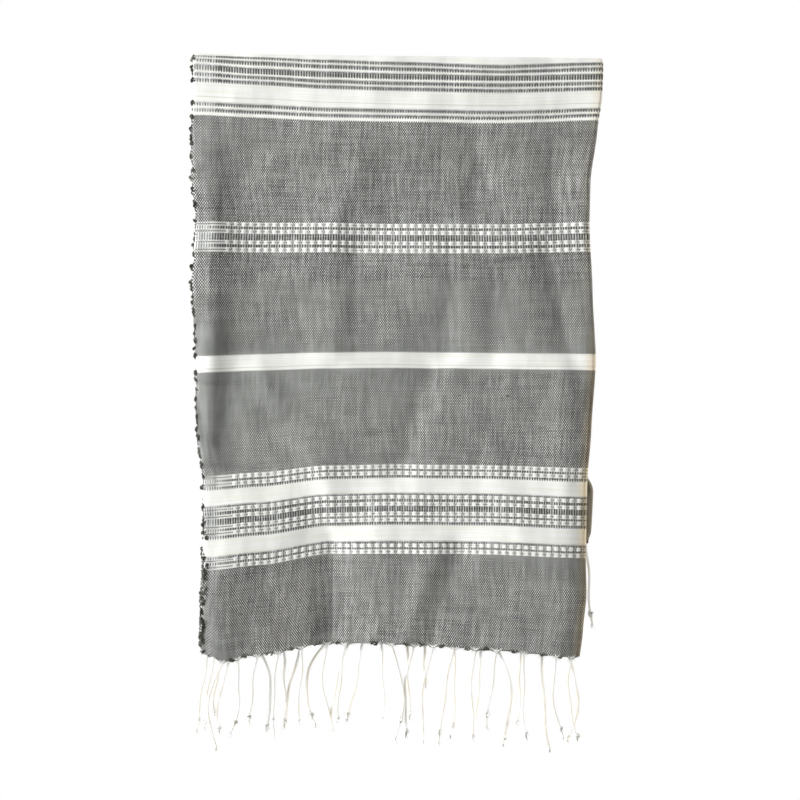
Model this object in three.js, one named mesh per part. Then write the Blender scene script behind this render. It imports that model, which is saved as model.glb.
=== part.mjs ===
// Handwoven hand towel, folded in half lengthwise and hung over a bar.
// Millimetres. X runs along the bar, Y away from the viewer, Z up; the origin is the bar's axis at mid-width.
// "across" counts round the folded width: 0 outer selvage, 1 lengthwise fold, 2 inner selvage.
// "along" counts down the cloth from the crest over the bar: plus in front, minus behind.
import * as THREE from "three";

// cloth
const clothThickness = 1.2;
const halfWidth = 255; // cut width 510, folded in two
const frontLength = 380; // crest to front hem
const backLength = 309; // crest to back hem
const innerRadius = 9; // middle of the inner layer, round a bar of 16
const foldRadiusAtBar = 1.2; // half the step between the two layers
const foldRadiusHanging = 2.4;
const innerReliefShare = 0.6; // the inner layer follows the folds of the outer one this much
const innerCornerLift = 6; // and its front corner hangs this much higher
const outerCornerCut = 7; // the outer layer's front corner is drawn up by this much
const hangingDepth = 60; // below the crest, where the panels hang freely
const foldFade = 15; // the soft folds die out this near the lengthwise fold
const outerRadius = innerRadius + 2 * foldRadiusAtBar;
const crestArc = (outerRadius * Math.PI) / 2; // crest to the level of the axis
const stripeBandEnd = 49; // below this the cloth undulates and its rows sit closer
const rowShare = 0.979;

// fringe
const hemGap = 0.72; // leaves about 0.3 at the slanting corners
const headerHeight = 2;
const cordWidth = 1.2;
const tipShare = 0.75; // of the cord's width
const cordBends = [0.3, 0.68, 1]; // down its length
const bundlePitch = 13.5; // the warp ends gathered into one cord

// how finely the faceted cloth is cut
const outerColumns = 20;
const noseColumns = 4;
const innerColumns = 12;
const noseShare = (foldRadiusHanging * Math.PI) / 2 / halfWidth; // the rounded fold's half, across

function table(columns, rows) {
  const names = columns.split(" ");
  return rows.map((row) => Object.fromEntries(names.map((name, i) => [name, row[i]])));
}

// Where the selvages and the lengthwise fold hang, at each height.
const frontEdges = table("z outer fold inner", [
  [12, -127.5, 127.5, -126.5],
  [-14, -127, 126.8, -126.5],
  [-34, -127, 124, -126],
  [-66, -126.5, 120, -125],
  [-94, -123.5, 119.6, -122.5],
  [-134, -125.5, 122, -123],
  [-178, -122.5, 124.6, -120],
  [-222, -121.5, 122.2, -119],
  [-254, -117.5, 120, -117],
  [-300, -116, 119.7, -117.5],
  [-324, -117, 120.4, -118.4],
  [-346, -118, 118.4, -118],
  [-372, -116.4, 115.5, -115.5],
]);
const backEdges = table("z outer fold inner", [
  [12, -127.5, 127.5, -126.5],
  [-60, -124, 120.5, -123],
  [-94, -121, 118.5, -120],
  [-184, -117, 123, -118],
  [-251, -114, 122, -116],
  [-254.5, -113.5, 124.9, -115],
  [-259, -113.5, 126.2, -115],
  [-276, -113.3, 125.7, -114.6],
  [-286, -113.2, 125.1, -114.3],
  [-291, -113, 123.4, -114],
]);

// How far each weft row slips down the cloth, at six stations from the selvage to the fold.
const slipStations = [0, 0.15, 0.32, 0.5, 0.75, 1];
const rowSlip = table("along selvage near third middle far fold", [
  [-309, 1, 0, -3, -5, -4, -1],
  [-60, 0, 0, 0, 0, 0, 0],
  [0, -4, -1.5, 0, 0, 1, -2],
  [12, -3.7, -2, 0, 1.2, 2.8, -0.4],
  [20, -4, -1.3, 0, 0.8, 1, -0.4],
  [27, -4.6, -3, -0.9, 0, 0.5, -1.7],
  [49, -2.8, -1.6, -0.2, 0, 0.2, -2.4],
  [123, 0.5, 0.3, 0, 0, -0.5, -2.4],
  [200, 4.2, 2.5, 0.8, 0, 0, 0],
  [295, 10.2, 7, 1.3, 0, -0.2, 1.4],
  [323, 11.3, 7.6, 0.8, 0, -0.3, 1.4],
  [380, 13.5, 7.5, 0.8, 0, 3, 7.2],
]);

// Soft troughs (depth above 0, towards the bar) and ridges (below 0), each between two places on the panel.
// "soft" is the half width over which its line is rounded.
const frontFolds = table("x1 z1 x2 z2 depth spread soft", [
  [-115, -30, -114, -100, -1.7, 8, 5],
  [-113, -72, -112, -98, -1.5, 5, 3],
  [-113, -110, -112, -165, -4.0, 13, 4],
  [-90, -112, -86, -170, 1.8, 14, 8],
  [-113, -160, -114, -236, -3.4, 7, 3],
  [-100, -192, -103, -228, 1.0, 7, 4],
  [-39, -112, -37, -172, -1.6, 7, 4],
  [-24, -112, -24, -172, 1.7, 7, 3],
  [-24, -58, -38, -98, -2.3, 9, 2],
  [-5, -66, -8, -96, 1.4, 10, 6],
  [49, -72, 50, -98, 1.3, 5, 2],
  [46, -30, 53, -60, 1.8, 6, 2],
  [53, -60, 72, -98, 1.8, 6, 2],
  [94, -28, 100, -92, 2.5, 8, 2],
  [94, -108, 103, -150, 2.0, 8, 2],
  [103, -150, 112, -182, 1.7, 7, 2],
  [78, -110, 86, -170, -1.0, 12, 8],
  [34, -116, 34, -174, 0.8, 6, 2],
  [43, -124, 45, -172, -0.6, 7, 3],
  [60, -136, 61, -178, 1.3, 6, 2],
  [-84, -184, -48, -238, -1.1, 5, 2],
  [-42, -250, -34, -285, -2.0, 8, 3],
  [-90, -202, -54, -248, 0.8, 6, 2],
  [22, -188, 5, -244, 2.2, 9, 2],
  [34, -188, 24, -244, -1.1, 7, 3],
  [39, -188, 64, -244, -1.4, 7, 2],
  [105, -186, 104, -248, -1.7, 12, 6],
  [-106, -296, -106, -372, -6.4, 27, 8],
  [-37, -290, -37, -372, 6.4, 16, 2],
  [-14, -300, -12, -366, -1.2, 12, 6],
  [12, -312, -2, -352, 0.6, 6, 2],
  [23, -302, 7, -358, -2.6, 8, 3],
  [41, -298, 21, -364, 3.3, 10, 3],
  [97, -298, 99, -366, -3.0, 25, 8],
  [-92, -330, -70, -358, -1.0, 6, 2],
]);
const backFolds = table("x1 z1 x2 z2 depth spread soft", [
  [-70, -60, -64, -250, 2.6, 12, 7],
  [-8, -90, -16, -290, -2.4, 12, 6],
  [52, -50, 60, -285, 3, 13, 5],
]);

function smooth(t) {
  const s = THREE.MathUtils.clamp(t, 0, 1);
  return s * s * (3 - 2 * s);
}

// Value of one named column at a place between two rows; the table is sorted by its key column.
function between(rows, key, at, read) {
  const rising = rows[0][key] < rows[1][key];
  const ordered = rising ? rows : [...rows].reverse();
  if (at <= ordered[0][key]) return read(ordered[0]);
  for (let i = 1; i < ordered.length; i++) {
    const low = ordered[i - 1];
    const high = ordered[i];
    if (at > high[key]) continue;
    const share = (at - low[key]) / (high[key] - low[key]);
    return THREE.MathUtils.lerp(read(low), read(high), smooth(share) * 0.5 + share * 0.5);
  }
  return read(ordered.at(-1));
}

function slipAt(share, along) {
  return between(rowSlip, "along", along, (row) => {
    const values = [row.selvage, row.near, row.third, row.middle, row.far, row.fold];
    const stations = slipStations.map((at, i) => ({ at, value: values[i] }));
    return between(stations, "at", share, (station) => station.value);
  });
}

function reliefAt(folds, x, z) {
  const place = new THREE.Vector3(x, z, 0);
  const nearest = new THREE.Vector3();
  return folds.reduce((sum, fold) => {
    const start = new THREE.Vector3(fold.x1, fold.z1, 0);
    const end = new THREE.Vector3(fold.x2, fold.z2, 0);
    new THREE.Line3(start, end).closestPointToPoint(place, true, nearest);
    const away = nearest.distanceTo(place);
    if (away > 4 * fold.spread) return sum;
    return sum + fold.depth * Math.exp((fold.soft - Math.hypot(away, fold.soft)) / fold.spread);
  }, 0);
}

// Where a place on the cloth lies down the path over the crest: plus in front of it, minus behind.
function runAt(share, along, outer) {
  const front = along >= 0;
  const length = Math.abs(along);
  const sunk = Math.max(length - stripeBandEnd, 0) * (1 - rowShare);
  if (!front) return slipAt(share, along) - length;
  const lift = outer
    ? outerCornerCut * smooth(1 - share / 0.06) * smooth((length - 330) / 50)
    : innerCornerLift * (1 - share) ** 3 * (along / frontLength);
  return length - sunk + slipAt(share, along) - lift;
}

// Middle of the cloth at one place. The crest is half a turn round the bar, and both panels hang from it.
function clothPoint(across, along) {
  const outer = across <= 1;
  const fromFold = Math.abs(1 - across) * halfWidth;
  const run = runAt(1 - fromFold / halfWidth, along, outer);
  const front = run >= 0;
  const turn = run / outerRadius;
  const onCrest = Math.abs(run) < crestArc;
  const z = onCrest ? outerRadius * Math.cos(turn) : crestArc - Math.abs(run);
  const hanging = smooth(-z / hangingDepth);
  const radius = THREE.MathUtils.lerp(foldRadiusAtBar, foldRadiusHanging, hanging);

  const edges = front ? frontEdges : backEdges;
  const foldX = between(edges, "z", z, (row) => row.fold);
  const freeX = between(edges, "z", z, (row) => (outer ? row.outer : row.inner));
  const quarterTurn = (radius * Math.PI) / 2;
  let x = foldX - radius * (1 - Math.cos(fromFold / radius));
  let step = radius * Math.sin(fromFold / radius);
  if (fromFold > quarterTurn) {
    x = THREE.MathUtils.mapLinear(fromFold, quarterTurn, halfWidth, foldX - radius, freeX);
    step = radius;
  }
  const strength = smooth(fromFold / foldFade) * hanging * (outer ? 1 : innerReliefShare);
  const relief = reliefAt(front ? frontFolds : backFolds, x, z) * strength;
  const out = innerRadius + radius + (outer ? step : -step) - relief;
  if (onCrest) return new THREE.Vector3(x, -out * Math.sin(turn), out * Math.cos(turn));
  return new THREE.Vector3(x, front ? -out : out, z);
}

function clothNormal(across, along) {
  const reach = 0.004; // a share of the width
  const down = 0.5; // along the cloth
  const ahead = clothPoint(Math.min(across + reach, 2), along);
  const behind = clothPoint(Math.max(across - reach, 0), along);
  const lower = clothPoint(across, along + down);
  const upper = clothPoint(across, along - down);
  return ahead.sub(behind).cross(upper.sub(lower)).normalize();
}

function spaced(from, to, count) {
  return Array.from({ length: count + 1 }, (_, i) => from + ((to - from) * i) / count);
}

function acrossStations() {
  const outerLayer = spaced(0, 1 - noseShare, outerColumns);
  const innerLayer = spaced(1 + noseShare, 2, innerColumns);
  const nose = spaced(1 - noseShare, 1 + noseShare, noseColumns).slice(1, -1);
  return [...outerLayer, ...nose, ...innerLayer];
}

// A closed sheet of cloth over the given stations: both faces and the four edges.
// growEdge may take the place of one quad of the first or last row's edge.
function clothSheet(columns, rows, pointAt = clothPoint, growEdge = () => false) {
  const places = [];
  for (const side of [-0.5, 0.5]) {
    for (const along of rows) {
      for (const across of columns) {
        const lift = clothNormal(across, along).multiplyScalar(side * clothThickness);
        places.push(pointAt(across, along).add(lift));
      }
    }
  }
  const wide = columns.length;
  const layer = wide * rows.length;
  const faces = [];
  const quad = (a, b, c, d) => faces.push(a, b, c, a, c, d);
  for (let j = 0; j < rows.length - 1; j++) {
    for (let i = 0; i < wide - 1; i++) {
      const a = j * wide + i;
      quad(a, a + 1, a + wide + 1, a + wide);
      quad(layer + a, layer + a + wide, layer + a + wide + 1, layer + a + 1);
    }
    const left = j * wide;
    const right = left + wide - 1;
    quad(left, left + wide, layer + left + wide, layer + left);
    quad(right, layer + right, layer + right + wide, right + wide);
  }
  for (let i = 0; i < wide - 1; i++) {
    const last = layer - wide + i;
    const edges = [
      { row: rows[0], ring: [i, layer + i, layer + i + 1, i + 1] },
      { row: rows.at(-1), ring: [last, last + 1, layer + last + 1, layer + last] },
    ];
    for (const { row, ring } of edges) {
      if (!growEdge(row, columns[i], ring, places, quad)) quad(...ring);
    }
  }
  const geometry = new THREE.BufferGeometry().setFromPoints(places);
  geometry.setIndex(faces);
  return geometry;
}

// The cords of the front hem: where each starts on the header, leans to halfway down and ends.
const frontCords = table("layer at half tip length", [
  ["inner", -114.5, -117, -121, 46],
  ["inner", -110, -113, -116, 45],
  ["inner", -104, -109, -109, 36],
  ["outer", -104, -112, -108, 52],
  ["inner", -98, -106, -106, 48],
  ["outer", -95, -94, -98, 44],
  ["outer", -83, -86, -87, 38],
  ["inner", -82, -74, -78, 49],
  ["outer", -70, -73, -71, 50],
  ["inner", -67, -66, -66, 32],
  ["outer", -56, -56, -58, 44],
  ["inner", -56, -62, -67, 50],
  ["inner", -40, -53, -46, 51],
  ["outer", -40, -42, -36, 52],
  ["outer", -29, -32, -32, 46],
  ["inner", -26, -35, -36, 54],
  ["inner", -18, -22, -26, 46],
  ["inner", -6, -5, -5, 46],
  ["outer", 0, 7, 4, 57],
  ["inner", 10, 11, 11, 44],
  ["outer", 14, 9, 10, 54],
  ["inner", 21, 21, 21, 24],
  ["outer", 26, 20, 20, 58],
  ["outer", 39, 33, 31, 57],
  ["inner", 39, 40, 37, 54],
  ["outer", 52, 50, 51, 53],
  ["inner", 56, 54, 51, 52],
  ["outer", 65, 62, 60, 45],
  ["inner", 67, 75, 70, 57],
  ["outer", 82, 82, 84, 50],
  ["inner", 81, 80, 79, 42],
  ["inner", 94, 95, 100, 58],
  ["outer", 102, 101, 106, 49],
  ["outer", 112, 110, 117, 49],
  ["inner", 111, 116, 111, 50],
]);

// The back hem hangs the same number of cords, even along both layers and gently swayed.
function backCords() {
  const count = Math.floor(halfWidth / bundlePitch);
  return ["outer", "inner"].flatMap((layer, side) =>
    Array.from({ length: count }, (_, i) => {
      const at = -108 + (i * (228 - side * 4)) / (count - 1);
      const half = at + 3 * Math.sin(2.4 * i + side);
      const tip = at + 4 * Math.sin(1.7 * i + 2 * side + 1.2);
      return { layer, at, half, tip, length: 48 + 6 * Math.sin(2.9 * i + 3 * side) };
    }),
  );
}

// The station across the cloth whose place on a hem has the given X, found by halving the layer.
function stationAt(layer, x, along) {
  let free = layer === "outer" ? 0 : 2;
  let fold = 1;
  for (let i = 0; i < 24; i++) {
    const middle = (free + fold) / 2;
    if (clothPoint(middle, along).x < x) free = middle;
    else fold = middle;
  }
  return (free + fold) / 2;
}

// A place on the faceted cloth, between its two nearest stations.
function facetPoint(across, along) {
  const stations = acrossStations();
  const next = Math.max(1, stations.findIndex((station) => station >= across - 1e-9));
  const share = (across - stations[next - 1]) / (stations[next] - stations[next - 1]);
  return clothPoint(stations[next - 1], along).lerp(clothPoint(stations[next], along), share);
}

// One cord of the comb: the header's own edge drawn down, leaning and thinning towards the tip.
function drawCord(cord, ring, places, quad) {
  const corners = ring.map((index) => places[index]);
  const start = corners.reduce((sum, corner) => sum.add(corner), new THREE.Vector3()).multiplyScalar(0.25);
  let above = ring;
  for (const down of cordBends) {
    const upper = THREE.MathUtils.lerp(start.x, cord.half, down * 2);
    const lower = THREE.MathUtils.lerp(cord.half, cord.tip, down * 2 - 1);
    const x = down < 0.5 ? upper : lower;
    const size = THREE.MathUtils.lerp(1, tipShare, down);
    const centre = new THREE.Vector3(x, start.y, start.z - cord.length * down);
    const below = corners.map((corner) => {
      const flat = corner.clone().sub(start).setZ(0);
      return places.push(centre.clone().addScaledVector(flat, size)) - 1;
    });
    above.forEach((index, k) => {
      const next = (k + 1) % 4;
      quad(index, above[next], below[next], below[k]);
    });
    above = below;
  }
  quad(...above);
}

function fringeComb(hem, cords) {
  const down = Math.sign(hem);
  const top = hem + down * hemGap;
  const foot = top + down * headerHeight;
  const halfCord = cordWidth / 2 / halfWidth; // as a share of the layer
  const starts = new Map();
  const nose = acrossStations().filter((station) => Math.abs(station - 1) < noseShare * 1.01);
  const stations = [0, ...nose, 2];
  for (const cord of cords) {
    const centre = stationAt(cord.layer, cord.at, hem);
    starts.set(centre - halfCord, cord);
    stations.push(centre - halfCord, centre + halfCord);
  }
  stations.sort((a, b) => a - b);
  const grow = (row, across, ring, places, quad) => {
    const cord = row === foot && starts.get(across);
    if (cord) drawCord(cord, ring, places, quad);
    return Boolean(cord);
  };
  return clothSheet(stations, [top, foot].sort((a, b) => a - b), facetPoint, grow);
}

function named(name, geometry, material) {
  const mesh = new THREE.Mesh(geometry, material);
  mesh.name = name;
  return mesh;
}

const wovenCotton = new THREE.MeshStandardMaterial({ color: 0x7d7d7a, roughness: 0.95, metalness: 0 });
const fringeCotton = new THREE.MeshStandardMaterial({ color: 0xe9e6dc, roughness: 0.9, metalness: 0 });

const backRows = spaced(-backLength, -crestArc, 14);
const crestRows = spaced(-crestArc, crestArc, 8).slice(1, -1);
const frontRows = spaced(crestArc, frontLength, 19);
const clothRows = [...backRows, ...crestRows, ...frontRows];

const towel = new THREE.Group();
towel.add(named("towel_cloth", clothSheet(acrossStations(), clothRows), wovenCotton));
towel.add(named("fringe_front", fringeComb(frontLength, frontCords), fringeCotton));
towel.add(named("fringe_back", fringeComb(-backLength, backCords()), fringeCotton));

export default towel;
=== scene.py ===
import math
import random

import bmesh
import bpy
from mathutils import Matrix, Vector, noise


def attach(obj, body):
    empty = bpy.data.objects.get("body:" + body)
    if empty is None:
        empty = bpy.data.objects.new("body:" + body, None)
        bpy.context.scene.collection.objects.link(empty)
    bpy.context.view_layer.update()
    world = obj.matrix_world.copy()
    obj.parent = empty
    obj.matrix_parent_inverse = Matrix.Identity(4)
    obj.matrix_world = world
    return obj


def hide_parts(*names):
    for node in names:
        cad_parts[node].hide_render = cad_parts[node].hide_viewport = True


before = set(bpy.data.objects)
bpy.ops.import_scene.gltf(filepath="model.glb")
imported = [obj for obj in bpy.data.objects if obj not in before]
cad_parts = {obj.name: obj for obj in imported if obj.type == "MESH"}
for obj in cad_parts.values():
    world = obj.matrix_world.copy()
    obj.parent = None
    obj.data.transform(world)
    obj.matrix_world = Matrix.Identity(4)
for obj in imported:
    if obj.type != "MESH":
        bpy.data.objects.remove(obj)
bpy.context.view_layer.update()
mm = 0.001
print("frame loaded")

# The towel's numbers are in millimetres and become metres where a mesh is made.
# across: 0 outer selvage, 1 lengthwise fold, 2 inner selvage
# along: from the crest, plus in front, minus behind
towel = {
    "thickness": 1.2,
    "halfWidth": 255,
    "front": 380,  # from the crest to the hem
    "back": 309,
    "innerRadius": 9,  # from the bar's middle to the middle of the inner layer
    "radiusAtBar": 1.2,  # of the lengthwise fold, pressed close over the bar
    "radiusHanging": 2.4,  # and where it hangs free
    "hangingDepth": 60,  # how far below the bar's middle it does
    "cornerLift": 6,  # the inner layer's front corner is drawn up by this much
    "cornerCut": 7,  # the outer layer's front corner is drawn up by this much
    "cutShare": 0.06,  # within this share of its width
    "cutFrom": 330,  # from here down
    "cutLength": 50,  # over this length
    "bandEnd": 49,  # from here down the front rows sit closer
    "rowShare": 0.979,  # at this share of their spacing
    "innerRelief": 0.6,  # the inner layer's folds, as a share of the outer layer's
    "foldFade": 15,  # folds fade out this close to the lengthwise fold
    "unevenFade": 8,  # and so does small unevenness
    "unevenAtBar": 0.35,  # what is left of it over the bar
    "looseEdge": 12,  # the selvages are loose over this width
    "edgeWander": 1.3,  # how far they stray sideways
    "edgeRipple": 0.7,  # and in and out
}
outerRadius = towel["innerRadius"] + 2 * towel["radiusAtBar"]
crestArc = outerRadius * math.pi / 2

# the cloth's unevenness: width and length of its patches, how far they stand out, and a seed
patches = [
    (9, 15, 0.16, 0),
    (4.5, 7, 0.096, 5),
    (34, 70, 0.35, 9),
]
innerSeed = 40  # the inner layer has its own patches

# z, then the x of the outer selvage, the fold and the inner selvage
frontEdges = [
    (12, -127.5, 127.5, -126.5),
    (-14, -127, 126.8, -126.5),
    (-34, -127, 124, -126),
    (-66, -126.5, 120, -125),
    (-94, -123.5, 119.6, -122.5),
    (-134, -125.5, 122, -123),
    (-178, -122.5, 124.6, -120),
    (-222, -121.5, 122.2, -119),
    (-254, -117.5, 120, -117),
    (-300, -116, 119.7, -117.5),
    (-324, -117, 120.4, -118.4),
    (-346, -118, 118.4, -118),
    (-372, -116.4, 115.5, -115.5),
]
backEdges = [
    (12, -127.5, 127.5, -126.5),
    (-60, -124, 120.5, -123),
    (-94, -121, 118.5, -120),
    (-184, -117, 123, -118),
    (-251, -114, 122, -116),
    (-254.5, -113.5, 124.9, -115),
    (-259, -113.5, 126.2, -115),
    (-276, -113.3, 125.7, -114.6),
    (-286, -113.2, 125.1, -114.3),
    (-291, -113, 123.4, -114),
]
# along, then how far the row slips forwards over the bar at each station,
# from the selvage at 0 to the lengthwise fold at 1
slipStations = [0, 0.15, 0.32, 0.5, 0.75, 1]
rowSlip = [
    (-309, 1, 0, -3, -5, -4, -1),
    (-60, 0, 0, 0, 0, 0, 0),
    (0, -4, -1.5, 0, 0, 1, -2),
    (12, -3.7, -2, 0, 1.2, 2.8, -0.4),
    (20, -4, -1.3, 0, 0.8, 1, -0.4),
    (27, -4.6, -3, -0.9, 0, 0.5, -1.7),
    (49, -2.8, -1.6, -0.2, 0, 0.2, -2.4),
    (123, 0.5, 0.3, 0, 0, -0.5, -2.4),
    (200, 4.2, 2.5, 0.8, 0, 0, 0),
    (295, 10.2, 7, 1.3, 0, -0.2, 1.4),
    (323, 11.3, 7.6, 0.8, 0, -0.3, 1.4),
    (380, 13.5, 7.5, 0.8, 0, 3, 7.2),
]
# a fold from x1, z1 to x2, z2: depth (above 0 is a trough), spread, and softness of its line
foldReach = 4  # a fold ends this many spreads from its line
frontFolds = [
    (-115, -30, -114, -100, -1.7, 8, 5),
    (-113, -72, -112, -98, -1.5, 5, 3),
    (-113, -110, -112, -165, -4.0, 13, 4),
    (-90, -112, -86, -170, 1.8, 14, 8),
    (-113, -160, -114, -236, -3.4, 7, 3),
    (-100, -192, -103, -228, 1.0, 7, 4),
    (-39, -112, -37, -172, -1.6, 7, 4),
    (-24, -112, -24, -172, 1.7, 7, 3),
    (-24, -58, -38, -98, -2.3, 9, 2),
    (-5, -66, -8, -96, 1.4, 10, 6),
    (49, -72, 50, -98, 1.3, 5, 2),
    (46, -30, 53, -60, 1.8, 6, 2),
    (53, -60, 72, -98, 1.8, 6, 2),
    (94, -28, 100, -92, 2.5, 8, 2),
    (94, -108, 103, -150, 2.0, 8, 2),
    (103, -150, 112, -182, 1.7, 7, 2),
    (78, -110, 86, -170, -1.0, 12, 8),
    (34, -116, 34, -174, 0.8, 6, 2),
    (43, -124, 45, -172, -0.6, 7, 3),
    (60, -136, 61, -178, 1.3, 6, 2),
    (-84, -184, -48, -238, -1.1, 5, 2),
    (-42, -250, -34, -285, -2.0, 8, 3),
    (-90, -202, -54, -248, 0.8, 6, 2),
    (22, -188, 5, -244, 2.2, 9, 2),
    (34, -188, 24, -244, -1.1, 7, 3),
    (39, -188, 64, -244, -1.4, 7, 2),
    (105, -186, 104, -248, -1.7, 12, 6),
    (-106, -296, -106, -372, -6.4, 27, 8),
    (-37, -290, -37, -372, 6.4, 16, 2),
    (-14, -300, -12, -366, -1.2, 12, 6),
    (12, -312, -2, -352, 0.6, 6, 2),
    (23, -302, 7, -358, -2.6, 8, 3),
    (41, -298, 21, -364, 3.3, 10, 3),
    (97, -298, 99, -366, -3.0, 25, 8),
    (-92, -330, -70, -358, -1.0, 6, 2),
]
backFolds = [
    (-70, -60, -64, -250, 2.6, 12, 7),
    (-8, -90, -16, -290, -2.4, 12, 6),
    (52, -50, 60, -285, 3, 13, 5),
]
# the front cords: layer, x at the hem, halfway and at the tip, length,
# and where down it the knot is (0 for none)
frontCords = [
    ("inner", -114.5, -117, -121, 46, 0.86),
    ("inner", -110, -113, -116, 45, 0.9),
    ("inner", -104, -109, -109, 36, 0),
    ("outer", -104, -112, -108, 52, 0),
    ("inner", -98, -106, -106, 48, 0.98),
    ("outer", -95, -94, -98, 44, 0.87),
    ("outer", -83, -86, -87, 38, 0.98),
    ("inner", -82, -74, -78, 49, 0.98),
    ("outer", -70, -73, -71, 50, 0.79),
    ("inner", -67, -66, -66, 32, 0),
    ("outer", -56, -56, -58, 44, 0.98),
    ("inner", -56, -62, -67, 50, 0.96),
    ("inner", -40, -53, -46, 51, 0.9),
    ("outer", -40, -42, -36, 52, 0),
    ("outer", -29, -32, -32, 46, 0.98),
    ("inner", -26, -35, -36, 54, 0),
    ("inner", -18, -22, -26, 46, 0.98),
    ("inner", -6, -5, -5, 46, 0),
    ("outer", 0, 7, 4, 57, 0.8),
    ("inner", 10, 11, 11, 44, 0.98),
    ("outer", 14, 9, 10, 54, 0.98),
    ("inner", 21, 21, 21, 24, 0),
    ("outer", 26, 20, 20, 58, 0),
    ("outer", 39, 33, 31, 57, 0.9),
    ("inner", 39, 40, 37, 54, 0.88),
    ("outer", 52, 50, 51, 53, 0.98),
    ("inner", 56, 54, 51, 52, 0),
    ("outer", 65, 62, 60, 45, 0.86),
    ("inner", 67, 75, 70, 57, 0.93),
    ("outer", 82, 82, 84, 50, 0.98),
    ("inner", 81, 80, 79, 42, 0.98),
    ("inner", 94, 95, 100, 58, 0),
    ("outer", 102, 101, 106, 49, 0.89),
    ("outer", 112, 110, 117, 49, 0.98),
    ("inner", 111, 116, 111, 50, 0.98),
]
# the back cords: all are out of sight but the last, which is given as the front ones are
backFringe = {
    "count": 18,  # in each layer
    "first": -108,
    "spans": {"outer": 228, "inner": 224},
    "bend": 3,
    "lean": 4,
    "length": 48,
    "uneven": 6,  # by how much it varies
    "knots": (0.84, 0.96, 0.96),
    "shown": ("outer", 122.5, 125, 127, 50, 0.9),
}


def listBackCords():
    rows = []
    for side, (layer, span) in enumerate(backFringe["spans"].items()):
        for i in range(backFringe["count"]):
            at = backFringe["first"] + i * span / (backFringe["count"] - 1)
            half = at + backFringe["bend"] * math.sin(2.4 * i + side)
            tip = at + backFringe["lean"] * math.sin(1.7 * i + 2 * side + 1.2)
            length = backFringe["length"] + backFringe["uneven"] * math.sin(2.9 * i + 3 * side)
            rows.append((layer, at, half, tip, length, backFringe["knots"][i % 3]))
    rows.append(backFringe["shown"])
    return rows


backCords = listBackCords()

# The order of the weft, counted from the middle of the cloth's pattern towards either hem:
# where a band begins, then what it is made of and where each part ends.
weftOrder = [
    (0, ("lines", 1.95), ("white", 3.6), ("lines", 6.2), ("white", 7.4), ("lines", 9.8)),
    (9.8, ("white", 21.2), ("lines", 23.4), ("white", 24.85), ("lines", 26.95), ("white", 29.15)),
    (93.95, ("dashes", 96.65), ("lines", 98.25), ("dashes", 101.1), ("lines", 105.1)),
    (105.1, ("dashes", 107.65), ("lines", 109.45), ("dashes", 112.5)),
    (175.05, ("white", 185.15)),
    (246.15, ("dashes", 249.1), ("lines", 250.3), ("dashes", 253.05), ("lines", 254.55), ("white", 264.2)),
    (264.2, ("lines", 265.6), ("dashes", 267.95), ("lines", 269.85), ("dashes", 272.3), ("lines", 276.0)),
    (276.0, ("dashes", 278.45), ("lines", 279.75), ("dashes", 282.5), ("lines", 284.25), ("white", 294.6)),
    (294.6, ("lines", 296.5), ("dashes", 298.4), ("lines", 299.9), ("dashes", 302.9)),
]
bands = {
    "middle": 19.85,  # along, where the order turns back
    "stretchFrom": 30,
    "backStretch": 0.104,  # behind, what lies past stretchFrom is closer, divided by one plus this
    "midRib": 0.25,  # half the width of the dark line through each row of dashes
    "ribReach": 0.45,  # how far the paired ends of a dark line reach past it
    "faint": [(17.75, 18.5), (182.7, 183.45)],
    "white": [],
    "dashes": [],
    "lines": [],
}
for low, *parts in weftOrder:
    for kind, high in parts:
        bands[kind].append((low, high))
        low = high
bands["middles"] = [
    ((low + high) / 2 - bands["midRib"], (low + high) / 2 + bands["midRib"]) for low, high in bands["dashes"]
]
bands["ribbed"] = [(low - bands["ribReach"], high + bands["ribReach"]) for low, high in bands["lines"]]


def smooth(share):
    held = min(max(share, 0), 1)
    return held * held * (3 - 2 * held)


# One column of a table, for a place between two of its rows.
def between(rows, at, column):
    ordered = rows if rows[0][0] < rows[1][0] else rows[::-1]
    if at <= ordered[0][0]:
        return ordered[0][column]
    for low, high in zip(ordered, ordered[1:]):
        if at <= high[0]:
            share = (at - low[0]) / (high[0] - low[0])
            share = smooth(share) * 0.5 + share * 0.5
            return low[column] + (high[column] - low[column]) * share
    return ordered[-1][column]


def slipAt(share, along):
    values = [(at, between(rowSlip, along, i + 1)) for i, at in enumerate(slipStations)]
    return between(values, share, 1)


def reliefAt(folds, x, z):
    total = 0
    for x1, z1, x2, z2, depth, spread, soft in folds:
        dx = x2 - x1
        dz = z2 - z1
        share = ((x - x1) * dx + (z - z1) * dz) / (dx * dx + dz * dz)
        share = min(max(share, 0), 1)
        away = math.hypot(x - x1 - dx * share, z - z1 - dz * share)
        if away < foldReach * spread:
            total += depth * math.exp((soft - math.hypot(away, soft)) / spread)
    return total


# How far a place lies from the crest once its row has slipped; share is 1 at the lengthwise fold.
def runAt(share, along, outer):
    front = along >= 0
    length = abs(along)
    sunk = max(length - towel["bandEnd"], 0) * (1 - towel["rowShare"]) if front else 0
    lift = 0
    if front and outer:
        lift = towel["cornerCut"] * smooth(1 - share / towel["cutShare"])
        lift *= smooth((length - towel["cutFrom"]) / towel["cutLength"])
    elif front:
        lift = towel["cornerLift"] * (1 - share) ** 3 * along / towel["front"]
    return (length - sunk if front else -length) + slipAt(share, along) - lift


def unevenness(x, z, across):
    layerSeed = 0 if across <= 1 else innerSeed
    total = 0
    for wide, long, height, seed in patches:
        total += height * noise.noise(Vector((x / wide, z / long, layerSeed + seed)))
    return total


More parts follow.
